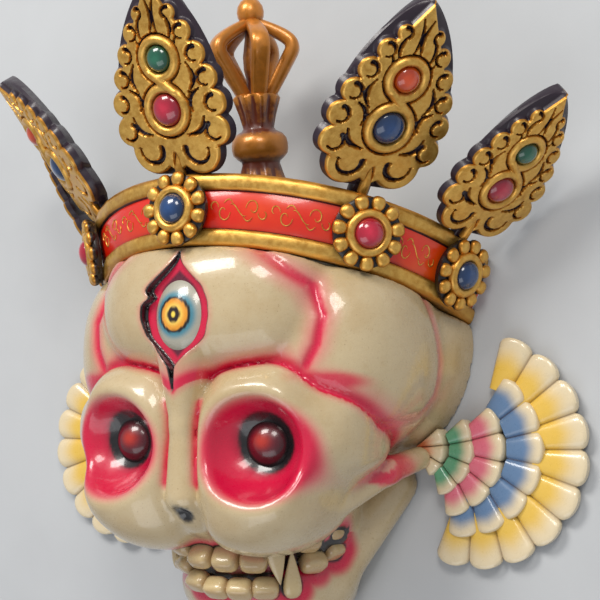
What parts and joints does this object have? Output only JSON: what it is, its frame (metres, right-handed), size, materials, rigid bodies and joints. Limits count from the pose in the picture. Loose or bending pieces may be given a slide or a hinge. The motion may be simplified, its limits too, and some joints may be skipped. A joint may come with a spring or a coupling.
{
  "type": "carved wooden skull mask",
  "caption": "Carved and painted wooden skull mask with a third eye, a jewelled leaf crown, a thunderbolt finial and scalloped ear fans, hollow and open at the back.",
  "frame": {"origin": "under the middle of the mask's box, on the surface that the mask lies on with its flat back down", "axes": "+Z out of the face, +Y up the face to the crown, +X to the mask's own left ear"},
  "size_m": [0.4484, 0.4456, 0.2022],
  "materials": {
    "bone_paint": "bone-cream lacquer over carved wood, gloss, crimson shading in the grooves",
    "gilt": "gold paint over carved wood, rubbed bright on the high parts and dark in the recesses",
    "amber_gilt": "darker amber gold paint over turned and carved wood",
    "fan_paint": "lobes painted in rows of colour fading to pearly cream, gloss"
  },
  "bodies": {
    "root": {"skull": "bone_paint", "crown_band": "gilt", "rosette_middle": "gilt", "rosette_inner_left": "gilt", "rosette_inner_right": "gilt", "rosette_outer_left": "gilt", "rosette_outer_right": "gilt", "leaf_middle": "gilt", "leaf_inner_left": "gilt", "leaf_inner_right": "gilt", "leaf_outer_left": "gilt", "leaf_outer_right": "gilt", "vajra_finial": "amber_gilt", "ear_fan_left": "fan_paint", "ear_fan_right": "fan_paint"}
  },
  "joints": []
}
